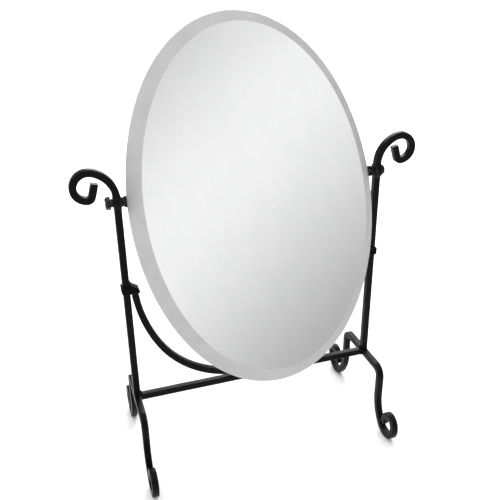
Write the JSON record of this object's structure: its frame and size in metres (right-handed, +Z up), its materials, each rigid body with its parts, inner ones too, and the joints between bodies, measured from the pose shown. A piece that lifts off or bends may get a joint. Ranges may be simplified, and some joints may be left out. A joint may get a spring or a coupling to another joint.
{
  "type": "countertop mirror",
  "caption": "Bevelled oval mirror that tilts between two scrolled square-bar posts of a black wrought-iron counter stand with a bow brace and scroll feet.",
  "frame": {"origin": "on the surface that the stand rests on, midway between the four scroll feet", "axes": "+X to the right as a person faces the glass, +Y away from that person, +Z up"},
  "size_m": [0.3934, 0.1918, 0.5074],
  "materials": {
    "black_iron": "satin black powder coat over forged square bar",
    "black_steel": "black oxide, slightly glossier than the bars",
    "zinc_steel": "bright zinc plate",
    "fibre": "black vulcanised fibre",
    "silvered_glass": "polished face, with a finely ground satin bevel",
    "black_board": "hardboard painted matt black",
    "foam_tape": "white closed-cell foam"
  },
  "bodies": {
    "stand": {"left_upright": "black_iron", "right_upright": "black_iron", "crossbar": "black_iron", "bow_brace": "black_iron", "left_collar": "black_iron", "right_collar": "black_iron", "left_leg_bar": "black_iron", "right_leg_bar": "black_iron"},
    "mirror": {"mirror_glass": "silvered_glass", "backing_board": "black_board", "bonding_tape_left": "foam_tape", "bonding_tape_right": "foam_tape", "bonding_tape_middle": "foam_tape", "left_bracket": "black_steel", "right_bracket": "black_steel", "left_bracket_screw_inner": "zinc_steel", "left_bracket_screw_outer": "zinc_steel", "right_bracket_screw_inner": "zinc_steel", "right_bracket_screw_outer": "zinc_steel", "left_pivot_bush": "black_steel", "right_pivot_bush": "black_steel", "left_friction_washer": "fibre", "right_friction_washer": "fibre", "left_spring_washer": "black_steel", "right_spring_washer": "black_steel"},
    "left_knob": {"left_pivot_knob": "black_steel"},
    "right_knob": {"right_pivot_knob": "black_steel"}
  },
  "joints": [
    {"name": "mirror_tilt", "type": "hinge", "parent": "stand", "child": "mirror", "pos_m": [0, 0, 0.33217], "axis": [1, 0, 0], "continuous": true},
    {"name": "left_knob_turn", "type": "hinge", "parent": "mirror", "child": "left_knob", "pos_m": [-0.1585, 0, 0.33217], "axis": [-1, 0, 0], "range_deg": [0, 270]},
    {"name": "right_knob_turn", "type": "hinge", "parent": "mirror", "child": "right_knob", "pos_m": [0.1568, 0, 0.33217], "axis": [1, 0, 0], "range_deg": [0, 270]}
  ]
}
